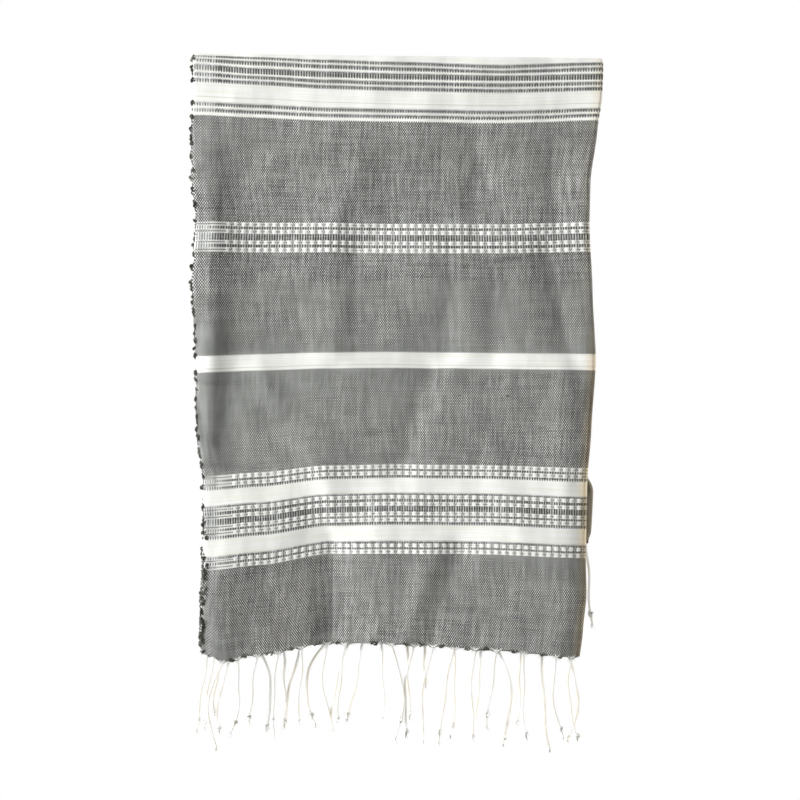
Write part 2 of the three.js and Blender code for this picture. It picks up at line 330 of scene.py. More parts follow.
# Where a place in the cloth's middle hangs, in millimetres.
def clothPlace(across, along):
    outer = across <= 1
    fromFold = abs(1 - across) * towel["halfWidth"]
    run = runAt(1 - fromFold / towel["halfWidth"], along, outer)
    front = run >= 0
    turn = run / outerRadius
    onCrest = abs(run) < crestArc
    z = outerRadius * math.cos(turn) if onCrest else crestArc - abs(run)
    hanging = smooth(-z / towel["hangingDepth"])
    radius = towel["radiusAtBar"] + (towel["radiusHanging"] - towel["radiusAtBar"]) * hanging
    edges = frontEdges if front else backEdges
    foldX = between(edges, z, 2)
    freeX = between(edges, z, 1 if outer else 3)
    quarterTurn = radius * math.pi / 2
    x = foldX - radius * (1 - math.cos(fromFold / radius))
    step = radius * math.sin(fromFold / radius)
    if fromFold > quarterTurn:
        share = (fromFold - quarterTurn) / (towel["halfWidth"] - quarterTurn)
        x = foldX - radius + (freeX - foldX + radius) * share
        step = radius
    relief = reliefAt(frontFolds if front else backFolds, x, z) * (1 if outer else towel["innerRelief"])
    relief *= smooth(fromFold / towel["foldFade"]) * hanging
    uneven = unevenness(x, z, across) * smooth(fromFold / towel["unevenFade"])
    relief += uneven * (towel["unevenAtBar"] + (1 - towel["unevenAtBar"]) * hanging)
    fromSelvage = towel["halfWidth"] - fromFold
    if fromSelvage < towel["looseEdge"]:
        loose = (1 - fromSelvage / towel["looseEdge"]) ** 2
        x += loose * towel["edgeWander"] * noise.noise(Vector((across * 3, along / 7, 2)))
        relief += loose * towel["edgeRipple"] * noise.noise(Vector((across * 3, along / 11, 7)))
    out = towel["innerRadius"] + radius + (step if outer else -step) - relief
    if onCrest:
        return Vector((x, -out * math.sin(turn), out * math.cos(turn)))
    return Vector((x, -out if front else out, z))


# The directions across the cloth, along it and out of it at a place.
def clothDirections(across, along):
    ahead = clothPlace(min(across + 0.004, 2), along) - clothPlace(max(across - 0.004, 0), along)
    down = clothPlace(across, along + 0.6) - clothPlace(across, along - 0.6)
    sideways = ahead.normalized()
    outwards = down.cross(sideways).normalized()
    return sideways, sideways.cross(outwards).normalized(), outwards


# The station across the cloth whose place on a hem has the given x.
def stationAt(layer, x, along):
    free = 0 if layer == "outer" else 2
    fold = 1
    for _ in range(20):
        middle = (free + fold) / 2
        if clothPlace(middle, along).x < x:
            free = middle
        else:
            fold = middle
    return (free + fold) / 2


def alongFromBand(distance, front):
    if front:
        return bands["middle"] + distance
    near = bands["stretchFrom"]
    away = distance if distance < near else near + (distance - near) / (1 + bands["backStretch"])
    return bands["middle"] - away


def inWhiteBand(along):
    away = abs(along - bands["middle"])
    if along < bands["middle"]:
        away += bands["backStretch"] * max(away - bands["stretchFrom"], 0)
    return any(low <= away <= high for low, high in bands["white"])


# Shader helpers: a value is a number, a colour or another node's output.
def feed(tree, socket, value):
    if isinstance(value, (int, float)):
        socket.default_value = value
    elif isinstance(value, tuple):
        socket.default_value = (*value, 1)
    else:
        tree.links.new(value, socket)


def calc(tree, operation, *values, clamp=False):
    node = tree.nodes.new("ShaderNodeMath")
    node.operation = operation
    node.use_clamp = clamp
    for socket, value in zip(node.inputs, values):
        feed(tree, socket, value)
    return node.outputs[0]


def centred(tree, value):
    return calc(tree, "SUBTRACT", value, 0.5)


# 1 for an even number, -1 for an odd one
def alternating(tree, number):
    parity = calc(tree, "FLOORED_MODULO", number, 2)
    return calc(tree, "SUBTRACT", 1, calc(tree, "MULTIPLY", parity, 2))


def ramped(tree, value, low, high, start=0, end=1):
    node = tree.nodes.new("ShaderNodeMapRange")
    node.interpolation_type = "SMOOTHSTEP"
    tree.links.new(value, node.inputs["Value"])
    node.inputs["From Min"].default_value = low
    node.inputs["From Max"].default_value = high
    node.inputs["To Min"].default_value = start
    node.inputs["To Max"].default_value = end
    return node.outputs["Result"]


def blended(tree, share, first, second, mode="MIX"):
    node = tree.nodes.new("ShaderNodeMix")
    node.data_type = "RGBA"
    node.blend_type = mode
    for socket, value in zip((node.inputs[0], node.inputs[6], node.inputs[7]), (share, first, second)):
        feed(tree, socket, value)
    return node.outputs[2]


def joined(tree, x, y, z=0):
    node = tree.nodes.new("ShaderNodeCombineXYZ")
    for socket, value in zip(node.inputs, (x, y, z)):
        feed(tree, socket, value)
    return node.outputs[0]


def stretched(tree, across, down, wide, long, seed=0):
    return joined(tree, calc(tree, "MULTIPLY", across, wide), calc(tree, "MULTIPLY", down, long), seed)


def shaded(tree, colour, shade):
    return blended(tree, 1, colour, joined(tree, shade, shade, shade), "MULTIPLY")


def clouded(tree, place, scale, detail):
    node = tree.nodes.new("ShaderNodeTexNoise")
    node.inputs["Detail"].default_value = detail
    feed(tree, node.inputs["Scale"], scale)
    tree.links.new(place, node.inputs["Vector"])
    return node.outputs["Fac"]


def scattered(tree, place):
    node = tree.nodes.new("ShaderNodeTexWhiteNoise")
    node.noise_dimensions = "3D"
    tree.links.new(place, node.inputs["Vector"])
    return node.outputs["Value"]


def startGroup(name, takes, gives):
    tree = bpy.data.node_groups.new(name, "ShaderNodeTree")
    for label in takes:
        kind = "NodeSocketVector" if label == "Place" else "NodeSocketFloat"
        tree.interface.new_socket(label, in_out="INPUT", socket_type=kind)
    for label in gives:
        tree.interface.new_socket(label, in_out="OUTPUT", socket_type="NodeSocketFloat")
    return tree, tree.nodes.new("NodeGroupInput"), tree.nodes.new("NodeGroupOutput")


def placed(tree, group, **values):
    node = tree.nodes.new("ShaderNodeGroup")
    node.node_tree = group
    for label, value in values.items():
        feed(tree, node.inputs[label], value)
    return node


bandMasks = ["white", "dashes", "ribbed", "middles", "faint"]


def makeBandOrder():
    tree, start, end = startGroup("bandOrder", ["Down"], [name.title() for name in bandMasks])
    away = calc(tree, "SUBTRACT", start.outputs["Down"], bands["middle"])
    behind = calc(tree, "LESS_THAN", away, 0)
    away = calc(tree, "ABSOLUTE", away)
    extra = calc(tree, "MAXIMUM", calc(tree, "SUBTRACT", away, bands["stretchFrom"]), 0)
    extra = calc(tree, "MULTIPLY", calc(tree, "MULTIPLY", extra, bands["backStretch"]), behind)
    away = calc(tree, "ADD", away, extra)
    for name in bandMasks:
        total = 0
        for low, high in bands[name]:
            within = calc(tree, "COMPARE", away, (low + high) / 2, (high - low) / 2)
            total = calc(tree, "ADD", within, total)
        tree.links.new(total, end.inputs[name.title()])
    return tree


weave = {
    "warpPitch": 0.7,
    "weftPitch": 1.0,
    "cover": 0.32,  # the higher, the smaller the warp's spots
    "edge": 0.6,  # softness of the spots' outlines
    "streak": 0.25,  # unevenness between neighbouring threads
    "streakSizes": (0.05, 0.03),  # how fast it changes along an end and along a pick
    "speckle": 0.2,  # unevenness between neighbouring crossings
    "wander": 0.4,  # how far the ends stray from straight
    "sway": 0.6,  # how far the picks stray
    "strayScale": 0.11,
    "jitter": 0.12,  # unevenness of the spaces between ends
    "jitterScale": 0.9,
    "paired": 0.18,  # how much wider the ends lie where they are paired
    "rib": 0.08,  # how far each second end stands out along its whole length
    "ribArch": 0.85,  # how high the ends stay between the picks of a dark line
    "evened": 0.6,  # how much weaker the crossings are in a dark line
    "teeth": 0.35,  # how far a dark line strays up and down from end to end
}
threadApart = 3.717  # sets the tones of neighbouring threads apart


# A plain weave worked out crossing by crossing, with uneven threads.
def makePlainWeave():
    tree, start, end = startGroup(
        "plainWeave",
        ["Across", "Down", "Warp Cover And Shade", "Paired Ends", "Ribbed"],
        ["Warp On Top", "Height", "Side", "Warp Tone", "Weft Tone"],
    )
    across = start.outputs["Across"]
    down = start.outputs["Down"]
    ribbed = start.outputs["Ribbed"]
    wander = clouded(tree, stretched(tree, across, down, 1, 0.5), weave["strayScale"], 1)
    wander = calc(tree, "MULTIPLY", centred(tree, wander), weave["wander"])
    spacing = clouded(tree, stretched(tree, across, down, 1, 0.02, 5), weave["jitterScale"], 1)
    wander = calc(tree, "MULTIPLY_ADD", centred(tree, spacing), weave["jitter"], wander)
    pitch = calc(tree, "MULTIPLY_ADD", start.outputs["Paired Ends"], weave["paired"], 1)
    pitch = calc(tree, "MULTIPLY", pitch, weave["warpPitch"])
    ends = calc(tree, "DIVIDE", calc(tree, "ADD", across, wander), pitch)
    sway = clouded(tree, joined(tree, across, down, 7), weave["strayScale"], 1)
    sway = calc(tree, "MULTIPLY", centred(tree, sway), weave["sway"])
    picks = calc(tree, "DIVIDE", calc(tree, "ADD", down, sway), weave["weftPitch"])
    endNumber = calc(tree, "FLOOR", ends)
    pickNumber = calc(tree, "FLOOR", picks)
    fromEnd = centred(tree, calc(tree, "SUBTRACT", ends, endNumber))
    fromPick = centred(tree, calc(tree, "SUBTRACT", picks, pickNumber))
    plain = alternating(tree, calc(tree, "ADD", endNumber, pickNumber))
    column = alternating(tree, endNumber)
    rib = calc(tree, "MAXIMUM", ribbed, weave["rib"])
    side = calc(tree, "MULTIPLY_ADD", calc(tree, "SUBTRACT", column, plain), rib, plain)
    alongEnd = stretched(tree, endNumber, down, threadApart, weave["streakSizes"][0])
    alongPick = stretched(tree, across, pickNumber, weave["streakSizes"][1], threadApart)
    warpTone = ramped(tree, clouded(tree, alongEnd, 1, 2), 0.3, 0.7)
    weftTone = ramped(tree, clouded(tree, alongPick, 1, 2), 0.3, 0.7)
    warpArch = calc(tree, "COSINE", calc(tree, "MULTIPLY", fromPick, math.pi))
    warpArch = calc(tree, "MAXIMUM", warpArch, calc(tree, "MULTIPLY", ribbed, weave["ribArch"]))
    weftArch = calc(tree, "COSINE", calc(tree, "MULTIPLY", fromEnd, math.pi))
    crossing = calc(tree, "MULTIPLY", calc(tree, "MULTIPLY", warpArch, weftArch), side)
    evened = calc(tree, "MULTIPLY_ADD", ribbed, -weave["evened"], 1)
    crossing = calc(tree, "MULTIPLY", crossing, evened)
    uneven = calc(tree, "SUBTRACT", calc(tree, "MULTIPLY_ADD", weftTone, 0.5, warpTone), 0.75)
    lead = calc(tree, "MULTIPLY_ADD", uneven, weave["streak"], crossing)
    speckle = centred(tree, scattered(tree, joined(tree, endNumber, pickNumber, 2)))
    lead = calc(tree, "MULTIPLY_ADD", speckle, weave["speckle"], lead)
    # more of the warp shows in the dark lines, and less beside the border, as painted shade
    lead = calc(tree, "ADD", calc(tree, "SUBTRACT", lead, weave["cover"]), start.outputs["Warp Cover And Shade"])
    onTop = ramped(tree, lead, -weave["edge"], weave["edge"])
    body = calc(tree, "MULTIPLY", calc(tree, "ABSOLUTE", crossing), 0.7)
    height = calc(tree, "MULTIPLY_ADD", onTop, 0.3, body)
    for socket, value in zip(end.inputs, (onTop, height, column, warpTone, weftTone)):
        tree.links.new(value, socket)
    return tree


yarn = {
    "tones": (0.35, 0.68),
    "fibres": (0.25, 0.6),
    "fibreShade": 0.84,  # of the darkest fibres
    "patchScale": 90,
    "bump": (0.5, 0.00012),
    "glowRadius": (1, 0.98, 0.95),
    "glowScale": 0.0007,
}


# Spun cotton: broad patches of a lighter tone, and fine fibres that shade it.
def makeSpunYarn():
    tree, start, end = startGroup("spunYarn", ["Place", "Fibre Scale"], ["Light", "Shade", "Fibre"])
    fibre = clouded(tree, start.outputs["Place"], start.outputs["Fibre Scale"], 3)
    patch = clouded(tree, start.outputs["Place"], yarn["patchScale"], 1)
    light = ramped(tree, patch, *yarn["tones"])
    shade = ramped(tree, fibre, *yarn["fibres"], yarn["fibreShade"], 1)
    for socket, value in zip(end.inputs, (light, shade, fibre)):
        tree.links.new(value, socket)
    return tree


colours = {
    "cream": (0.86, 0.858, 0.835),
    "dullWarp": (0.59, 0.595, 0.585),
    "brightWarp": (0.78, 0.785, 0.775),
    "darkWeft": (0.031, 0.032, 0.027),
    "fadedWeft": (0.078, 0.08, 0.071),
    "faintLine": (0.25, 0.24, 0.21),
    "foldStain": (1.0, 0.84, 0.6),
    "whiteYarn": (0.87, 0.868, 0.845),
    "dullWhiteYarn": (0.77, 0.765, 0.735),
    "charcoalYarn": (0.15, 0.146, 0.124),
    "blackYarn": (0.04, 0.041, 0.032),
    "cord": (0.93, 0.93, 0.91),
    "tannedCord": (0.88, 0.84, 0.76),
    "floor": (0.86, 0.86, 0.85),
}
cotton = {
    "Roughness": 0.92,
    "Specular IOR Level": 0.18,
    "Sheen Weight": 0.12,
    "Sheen Roughness": 0.5,
}


def startMaterial(name):
    material = bpy.data.materials.new(name)
    material.use_nodes = True
    tree = material.node_tree
    shader = tree.nodes["Principled BSDF"]
    for label, value in cotton.items():
        shader.inputs[label].default_value = value
    return material, tree, shader


def addBump(tree, shader, height, strength, distance):
    bump = tree.nodes.new("ShaderNodeBump")
    bump.inputs["Strength"].default_value = strength
    bump.inputs["Distance"].default_value = distance
    tree.links.new(height, bump.inputs["Height"])
    tree.links.new(bump.outputs["Normal"], shader.inputs["Normal"])


finish = {
    # distances from the lengthwise fold: from the first to the second something comes in
    "border": (244, 248),  # the selvage's border of paired ends
    "beside": (222, 243),  # the strip beside it, where less of the warp shows
    "edging": (238, 244),  # the strip beside it, which gets painted shade
    "dashesEnd": (237, 235),
    "stain": (10, 1),
    "besideShade": -0.1,  # painted shade beside the border, given as how much more of the warp shows there
    "linesMore": 0.12,  # and in a dark line
    "edgingMore": 0.3,  # and in its edging, on top of that
    "dashGap": (0.24, 0.16),  # the gap between two dashes, as a share of their repeat
    "dashLight": 0.75,  # how white the dashes are
    "gapDarker": 0.4,
    "faint": 0.22,
    "hollows": 0.88,  # shade between the threads
    "blotches": (0.86, 1.1),
    "streaks": (0.92, 1.08),  # along the warp of the grey cloth
    "rows": (-0.05, 0.008),  # along the weft of the white bands
    "stainFrom": (170, 215),  # down the cloth, where the stain deepens
    "stainBehind": -40,  # it is as deep past here behind
    "stainLeast": 0.35,
    "stainMore": 0.6,
    "bump": (0.15, 0.00022),
}


def makeClothMaterial(bandOrder, plainWeave):
    material, tree, shader = startMaterial("wovenCotton")
    uv = tree.nodes.new("ShaderNodeUVMap")
    uv.uv_map = "clothPlace"
    split = tree.nodes.new("ShaderNodeSeparateXYZ")
    tree.links.new(uv.outputs["UV"], split.inputs[0])
    across = calc(tree, "MULTIPLY", split.outputs["X"], 1 / mm)
    down = calc(tree, "MULTIPLY", split.outputs["Y"], 1 / mm)
    fromFold = calc(tree, "ABSOLUTE", calc(tree, "SUBTRACT", across, towel["halfWidth"]))

    # the threads
    border = ramped(tree, fromFold, *finish["border"])
    beside = calc(tree, "SUBTRACT", ramped(tree, fromFold, *finish["beside"]), border, clamp=True)
    rows = placed(tree, bandOrder, Down=down)
    ribbed = rows.outputs["Ribbed"]
    edging = ramped(tree, fromFold, *finish["edging"])
    edging = calc(tree, "MULTIPLY_ADD", edging, finish["edgingMore"], finish["linesMore"])
    # painted shade in the strip beside the border, drawn as less of the warp showing
    warpCoverAndShade = calc(tree, "MULTIPLY", beside, finish["besideShade"])
    warpCoverAndShade = calc(tree, "MULTIPLY_ADD", ribbed, edging, warpCoverAndShade)
    paired = calc(tree, "MAXIMUM", ribbed, border)
    given = {"Across": across, "Down": down, "Warp Cover And Shade": warpCoverAndShade, "Paired Ends": paired, "Ribbed": ribbed}
    threads = placed(tree, plainWeave, **given)

    # the bands, with the dark lines' toothed edges and the gaps between dashes
    toothed = calc(tree, "MULTIPLY_ADD", threads.outputs["Side"], weave["teeth"], down)
    order = placed(tree, bandOrder, Down=toothed)
    beat = calc(tree, "DIVIDE", calc(tree, "SUBTRACT", across, floats["fromSelvage"]), floats["repeat"])
    beat = calc(tree, "ABSOLUTE", centred(tree, calc(tree, "FLOORED_MODULO", beat, 1)))
    gap = ramped(tree, beat, *finish["dashGap"])
    gap = calc(tree, "MULTIPLY", gap, ramped(tree, fromFold, *finish["dashesEnd"]))
    pale = calc(tree, "SUBTRACT", rows.outputs["Dashes"], rows.outputs["Middles"], clamp=True)
    darker = calc(tree, "MULTIPLY", calc(tree, "MAXIMUM", gap, border), finish["gapDarker"])
    dashLight = calc(tree, "MULTIPLY", pale, calc(tree, "SUBTRACT", finish["dashLight"], darker))
    lightWeft = calc(tree, "ADD", order.outputs["White"], dashLight, clamp=True)

    # their colours
    dark = blended(tree, threads.outputs["Weft Tone"], colours["darkWeft"], colours["fadedWeft"])
    weft = blended(tree, lightWeft, dark, colours["cream"])
    warp = blended(tree, threads.outputs["Warp Tone"], colours["dullWarp"], colours["brightWarp"])
    warp = blended(tree, lightWeft, warp, colours["cream"])
    cloth = blended(tree, threads.outputs["Warp On Top"], weft, warp)
    faint = calc(tree, "MULTIPLY", rows.outputs["Faint"], finish["faint"])
    cloth = blended(tree, faint, cloth, colours["faintLine"])

    # the shade between threads, blotches, streaks and rows, and the yellowed fold
    cloth = shaded(tree, cloth, ramped(tree, threads.outputs["Height"], 0.1, 0.9, finish["hollows"], 1))
    place = stretched(tree, across, down, 0.05, 0.018)
    soft = ramped(tree, clouded(tree, place, 1, 4), 0.3, 0.7, *finish["blotches"])
    place = stretched(tree, across, down, 0.36, 0.012, 3)
    streaks = ramped(tree, clouded(tree, place, 1, 2), 0.25, 0.75, *finish["streaks"])
    grey = calc(tree, "SUBTRACT", 1, lightWeft)
    streaks = calc(tree, "MULTIPLY_ADD", grey, calc(tree, "SUBTRACT", streaks, 1), 1)
    cloth = shaded(tree, cloth, calc(tree, "MULTIPLY", soft, streaks))
    place = stretched(tree, across, down, 0.015, 0.9, 9)
    picks = ramped(tree, clouded(tree, place, 1, 2), 0.35, 0.62, *finish["rows"])
    picks = calc(tree, "MULTIPLY_ADD", picks, lightWeft, 1)
    tinted = joined(tree, picks, picks, calc(tree, "MULTIPLY", picks, picks))
    cloth = blended(tree, 1, cloth, tinted, "MULTIPLY")
    behind = calc(tree, "LESS_THAN", down, finish["stainBehind"])
    deeper = calc(tree, "MAXIMUM", ramped(tree, down, *finish["stainFrom"]), behind)
    stain = calc(tree, "MULTIPLY_ADD", deeper, finish["stainMore"], finish["stainLeast"])
    stain = calc(tree, "MULTIPLY", ramped(tree, fromFold, *finish["stain"]), stain)
    cloth = blended(tree, stain, cloth, colours["foldStain"], "MULTIPLY")
    tree.links.new(cloth, shader.inputs["Base Color"])
    addBump(tree, shader, threads.outputs["Height"], *finish["bump"])
    return material


def makeYarnMaterial(name, spunYarn, light, dull, fibreScale, glow=0):
    material, tree, shader = startMaterial(name)
    shader.inputs["Subsurface Weight"].default_value = glow
    shader.inputs["Subsurface Radius"].default_value = yarn["glowRadius"]
    shader.inputs["Subsurface Scale"].default_value = yarn["glowScale"]
    place = tree.nodes.new("ShaderNodeTexCoord").outputs["Object"]
    spun = placed(tree, spunYarn, **{"Place": place, "Fibre Scale": fibreScale})
    tone = blended(tree, spun.outputs["Light"], colours[dull], colours[light])
    tree.links.new(shaded(tree, tone, spun.outputs["Shade"]), shader.inputs["Base Color"])
    addBump(tree, shader, spun.outputs["Fibre"], *yarn["bump"])
    return material


def meshFrom(name, bm):
    mesh = bpy.data.meshes.new(name)
    bm.to_mesh(mesh)
    bm.free()
    return mesh


def addObject(name, bm, *materials):
    mesh = meshFrom(name, bm)
    mesh.shade_smooth()
    for material in materials:
        mesh.materials.append(material)
    piece = bpy.data.objects.new(name, mesh)
    bpy.context.scene.collection.objects.link(piece)
    return piece


hems = {
    "scallop": 1.8,  # how far the bundles of warp draw the hem down
    "level": 0.45,  # the pull that leaves it where it is
    "pullWidth": 2.6,
    "pullReach": 7,  # how far up the cloth the pull is felt
    "inside": 0.9999,  # yarns take the pull just inside the hem, at this share of the way to it
    "gather": 0.3,  # how strongly the ends draw together towards a bundle
    "gatherWidth": 4.5,
    "gatherReach": 9,
}


# How near its hem a place is, and how far it lies to the right of each bundle in its layer.
def byBundles(across, along, reach):
    hem = towel["front"] if along > 0 else -towel["back"]
    near = smooth(1 - abs(hem - along) / reach)
    if near <= 0:
        return 0, []
    x = clothPlace(across, hem).x
    layer = "outer" if across <= 1 else "inner"
    rows = frontCords if along > 0 else backCords
    return near, [x - row[1] for row in rows if row[0] == layer]


# How far a row near a hem is drawn along the towel: down at a bundle, up between two.
def hemPull(across, along):
    near, bundles = byBundles(across, along, hems["pullReach"])
    if not near:
        return 0
    pull = sum(math.exp(-((away / hems["pullWidth"]) ** 2)) for away in bundles)
    return near * math.copysign(hems["scallop"], along) * (min(pull, 1) - hems["level"])


# How far sideways the ends near a hem are drawn together.
def gathered(across, along):
    near, bundles = byBundles(across, along, hems["gatherReach"])
    pull = sum(away * math.exp(-((away / hems["gatherWidth"]) ** 2)) for away in bundles)
    return near * hems["gather"] * (pull if across <= 1 else -pull)


# A place on a hem as the bundles leave it, or further along the towel.
def hemPlace(across, hem, further=0):
    return clothPlace(across, hem + (hemPull(across, hem * hems["inside"]) + further))


clothGrid = {
    "fold": 6,  # the columns are closer within this distance of the lengthwise fold
    "foldColumns": 24,
    "columns": 104,  # in each half beside it
    "hem": 6,  # and the rows are closer within this distance of a hem
    "hemRows": 5,
    "frontRows": 103,
    "crestRows": 20,
    "backRows": 76,
}


# Places from a start on, through stretches that each have an end and a number of steps.
def spaced(start, *stretches):
    places = [start]
    for end, count in stretches:
        places += [start + (end - start) * i / count for i in range(1, count + 1)]
        start = end
    return places


def makeCloth(material):
    width = towel["halfWidth"]
    nose = clothGrid["fold"] / width
    columns = spaced(
        0,
        (1 - nose, clothGrid["columns"]),
        (1 + nose, clothGrid["foldColumns"]),
        (2, clothGrid["columns"]),
    )
    rows = spaced(
        -towel["back"],
        (clothGrid["hem"] - towel["back"], clothGrid["hemRows"]),
        (-crestArc, clothGrid["backRows"]),
        (crestArc, clothGrid["crestRows"]),
        (towel["front"] - clothGrid["hem"], clothGrid["frontRows"]),
        (towel["front"], clothGrid["hemRows"]),
    )
    wide = len(columns) - 1
    tall = len(rows) - 1
    bm = bmesh.new()
    bmesh.ops.create_grid(bm, x_segments=wide, y_segments=tall, size=0.5)
    layer = bm.loops.layers.uv.new("clothPlace")
    station = {}
    for vert in bm.verts:
        column = round((vert.co.x + 0.5) * wide)
        row = round((vert.co.y + 0.5) * tall)
        station[vert.index] = (columns[column], rows[row])
    for face in bm.faces:
        for loop in face.loops:
            across, along = station[loop.vert.index]
            loop[layer].uv = ((across * width + gathered(across, along)) * mm, along * mm)
    for vert in bm.verts:
        across, along = station[vert.index]
        vert.co = clothPlace(across, along + hemPull(across, along)) * mm
    piece = addObject("towelCloth", bm, material)
    wall = piece.modifiers.new("wall", "SOLIDIFY")
    wall.thickness = towel["thickness"] * mm
    wall.offset = 0
    return piece


def stamp(bm, template, matrix, material=0):
    copy = template.copy()
    copy.transform(matrix)
    for polygon in copy.polygons:
        polygon.material_index = material
    bm.from_mesh(copy)
    bpy.data.meshes.remove(copy)


def placing(sideways, down, outwards, place):
    matrix = Matrix((sideways, down, outwards)).transposed().to_4x4()
    matrix.translation = place * mm
    return matrix


floats = {
    "repeat": 4.96,
    "fromSelvage": 20.5,
    "fromFold": 2,
    "sunk": 0.1,  # how far a float sits in the cloth
    "pointed": 0.35,  # how much thinner it is at its ends
    # place down the dash, length, width and height of each
    "picks": [(-0.82, 3.4, 1.2, 0.6), (0, 3.1, 1.1, 0.54), (0.82, 3.3, 1.2, 0.58)],
    "stray": (0.25, 0.12),  # across and down
    "tilt": 0.1,  # radians either way
    "lengths": (0.84, 1.1),  # how far the picks differ from their sizes
    "widths": (0.82, 1.12),
}


# The raised weft floats of the dash rows, three picks to a dash.
def makeFloats(name, front, material):
    shape = bmesh.new()
    bmesh.ops.create_uvsphere(shape, u_segments=7, v_segments=5, radius=0.5)
    bmesh.ops.rotate(shape, verts=shape.verts, matrix=Matrix.Rotation(math.pi / 2, 3, "Y"))
    for vert in shape.verts:
        thin = 1 - floats["pointed"] * (2 * vert.co.x) ** 2
        vert.co = Vector((vert.co.x, vert.co.y * thin, vert.co.z * thin))
    template = meshFrom("floatShape", shape)
    bm = bmesh.new()
    rng = random.Random(5 if front else 6)
    sideStray, downStray = floats["stray"]
    lift = towel["thickness"] / 2 - floats["sunk"]
    for low, high in bands["dashes"]:
        middle = alongFromBand((low + high) / 2, front)
        at = floats["fromSelvage"]
        while at < towel["halfWidth"] - floats["fromFold"]:
            for offset, long, wide, tall in floats["picks"]:
                across = (at + rng.uniform(-sideStray, sideStray)) / towel["halfWidth"]
                along = middle + offset + rng.uniform(-downStray, downStray)
                sideways, down, outwards = clothDirections(across, along)
                tilt = Matrix.Rotation(rng.uniform(-floats["tilt"], floats["tilt"]), 3, outwards)
                place = clothPlace(across, along) + outwards * lift
                length = long * rng.uniform(*floats["lengths"]) * mm
                width = wide * rng.uniform(*floats["widths"]) * mm
                matrix = placing(tilt @ sideways * length, tilt @ down * width, outwards * tall * mm, place)
                stamp(bm, template, matrix)
            at += floats["repeat"]
    bmesh.ops.recalc_face_normals(bm, faces=bm.faces)
    bpy.data.meshes.remove(template)
    return addObject(name, bm, material)


loops = {
    "pitch": 1.6,  # from one turn of the weft to the next
    "uneven": (0.7, 1.3),
    "thread": 0.38,  # half its thickness, before a turn's own size
    "bow": 0.75,  # radius of a turn, likewise
    "sizes": (0.5, 0.95),
    "reach": 1.1,  # how far it stands out, times its size
    "turned": 0.6,  # radians either way
    "tuftSizes": (0.75, 1.45),
    "tuftTurned": 1.4,
    "tuftLeaning": 1.1,
    "tuftHeights": (-0.3, 0.7),  # of its turns over the cloth
    "apart": (1.2, 6.5),  # from one tuft to the next
    "strayed": 0.3,  # how far the tufts stray over the cloth
    "worn": 290,  # below this they crowd together
    "wornApart": 0.55,
    "wornStrayed": 2.4,  # and stray over the cloth by this much
    "wornLift": 0.4,
}


# One half turn of weft, open towards the cloth.
def loopTemplate():
    shape = bmesh.new()
    ring = bmesh.ops.create_circle(shape, segments=5, radius=loops["thread"], cap_ends=True)["verts"]
    bmesh.ops.rotate(shape, verts=ring, matrix=Matrix.Rotation(math.pi / 2, 3, "X"))
    bmesh.ops.translate(shape, verts=ring, vec=Vector((loops["bow"], 0, 0)))
    bmesh.ops.rotate(shape, verts=ring, matrix=Matrix.Rotation(math.pi / 2, 3, "Z"))
    bmesh.ops.spin(
        shape,
        geom=shape.faces[:],
        axis=(0, 0, 1),
        cent=(0, 0, 0),
        steps=4,
        angle=-math.pi,
        use_duplicate=False,
    )
    bmesh.ops.recalc_face_normals(shape, faces=shape.faces)
    return meshFrom("loopShape", shape)


# A tuft of tangled weft at the cloth's edge, spread sideways and down from its middle.
def addTuft(bm, template, place, directions, count, wide, tall, rng):
    sideways, down, outwards = directions
    for _ in range(count):
        turned = Matrix.Rotation(rng.uniform(-loops["tuftTurned"], loops["tuftTurned"]), 3, outwards)
        leaning = Matrix.Rotation(rng.uniform(-loops["tuftLeaning"], loops["tuftLeaning"]), 3, down)
        size = rng.uniform(*loops["tuftSizes"]) * mm
        offset = sideways * rng.uniform(-wide, wide) + down * rng.uniform(-tall, tall)
        offset += outwards * rng.uniform(*loops["tuftHeights"])
        turned = leaning @ turned * size
        matrix = placing(turned @ sideways, turned @ down, turned @ outwards, place + offset)
        stamp(bm, template, matrix)


# The weft turning back at the selvages, dark or white by its band, with its tangled tufts.
def makeSelvageLoops(dark, light):
    template = loopTemplate()
    bm = bmesh.new()
    rng = random.Random(8)
    for across in (0, 2):
        along = 1 - towel["back"]
        nextTuft = along + rng.uniform(*loops["apart"])
        while along < towel["front"] - 1:
            sideways, down, outwards = clothDirections(across, along)
            away = -sideways if across == 0 else sideways
            place = clothPlace(across, along)
            white = inWhiteBand(along)
            turned = Matrix.Rotation(rng.uniform(-loops["turned"], loops["turned"]), 3, away)
            size = rng.uniform(*loops["sizes"]) * mm
            out = away * size * loops["reach"]
            matrix = placing(out, turned @ down * size, turned @ outwards * size, place)
            stamp(bm, template, matrix, 1 if white else 0)
            if along > nextTuft and not white:
                length = rng.uniform(0.3, 1.5) ** 2
                worn = along > loops["worn"]
                strayed = loops["wornStrayed"] if worn else loops["strayed"]
                edge = place + away * rng.uniform(-strayed, 0.7)
                if worn:
                    edge += outwards * loops["wornLift"]
                addTuft(bm, template, edge, (away, down, outwards), int(3 + 3 * length), 0.5, length, rng)
                nextTuft = along + length + rng.uniform(*loops["apart"]) * (loops["wornApart"] if worn else 1)
            along += loops["pitch"] * rng.uniform(*loops["uneven"])
    bmesh.ops.recalc_face_normals(bm, faces=bm.faces)
    bpy.data.meshes.remove(template)
    return addObject("selvageLoops", bm, dark, light)


def startYarns(name, thread, material):
    curve = bpy.data.curves.new(name, "CURVE")
    curve.dimensions = "3D"
    curve.bevel_depth = thread * mm
    curve.bevel_resolution = 1
    curve.use_fill_caps = True
    curve.materials.append(material)
    return curve


def addYarn(curve, places, widths=None, cyclic=False):
    spline = curve.splines.new("POLY")
    spline.points.add(len(places) - 1)
    for i, (point, place) in enumerate(zip(spline.points, places)):
        point.co = (*(place * mm), 1)
        point.radius = widths[i] if widths else 1
    spline.use_cyclic_u = cyclic


